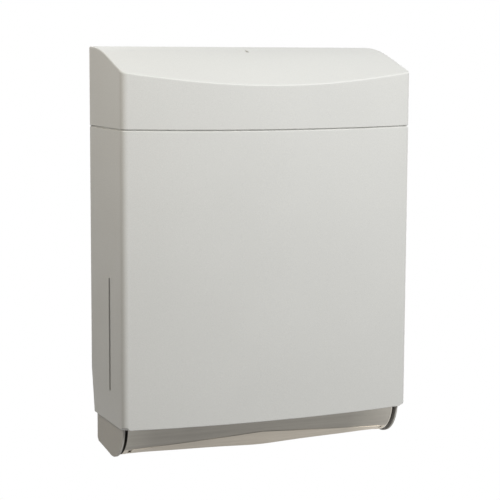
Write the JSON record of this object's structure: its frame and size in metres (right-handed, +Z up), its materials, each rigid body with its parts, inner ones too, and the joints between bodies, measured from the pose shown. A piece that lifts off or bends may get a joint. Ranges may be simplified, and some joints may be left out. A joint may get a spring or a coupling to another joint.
{
  "type": "paper towel dispenser",
  "caption": "Wall dispenser for folded paper towels: light grey moulded cover that swings open over a stainless tray with a rolled, open-bottomed front lip.",
  "frame": {"origin": "centre of the four wall screw holes, on the wall plane", "axes": "+X right as a user faces the dispenser, +Y into the wall, +Z up"},
  "size_m": [0.305, 0.1125, 0.4002],
  "materials": {
    "light_grey_abs": "fine matte texture",
    "grey_abs": "fine matte texture",
    "stainless": "brushed along the width",
    "zinc_steel": "zinc plated",
    "spring_steel": "drawn wire",
    "white_nylon": "natural",
    "black_rubber": "matt"
  },
  "bodies": {
    "base": {"base_plate": "grey_abs", "side_cheek_right": "grey_abs", "side_cheek_left": "grey_abs", "cheek_screws": "zinc_steel", "towel_tray": "stainless", "tray_rear_screws": "zinc_steel", "tray_side_screws": "zinc_steel", "hinge_pin_right": "zinc_steel", "hinge_pin_left": "zinc_steel", "latch_strike": "zinc_steel", "strike_screws": "zinc_steel", "bump_pads": "black_rubber"},
    "cover": {"cover_shell": "light_grey_abs", "top_cap": "light_grey_abs", "cap_screws": "zinc_steel", "hinge_arm_right": "zinc_steel", "hinge_arm_left": "zinc_steel", "hinge_bush_right": "white_nylon", "hinge_bush_left": "white_nylon", "arm_screws": "zinc_steel", "latch_bracket": "zinc_steel", "latch_screws": "zinc_steel", "latch_pin": "zinc_steel", "latch_spring": "spring_steel"},
    "latch": {"latch_lever": "white_nylon"}
  },
  "joints": [
    {"name": "cover_hinge", "type": "hinge", "parent": "base", "child": "cover", "pos_m": [0, -0.054, -0.189], "axis": [1, 0, 0], "range_deg": [0, 90]},
    {"name": "latch_pivot", "type": "hinge", "parent": "cover", "child": "latch", "pos_m": [0, -0.06, 0.1485], "axis": [-1, 0, 0], "range_deg": [0, 12], "stiffness_Nm_per_rad": 0.2, "springref_deg": -9.74, "deforming": ["latch_spring"]}
  ]
}
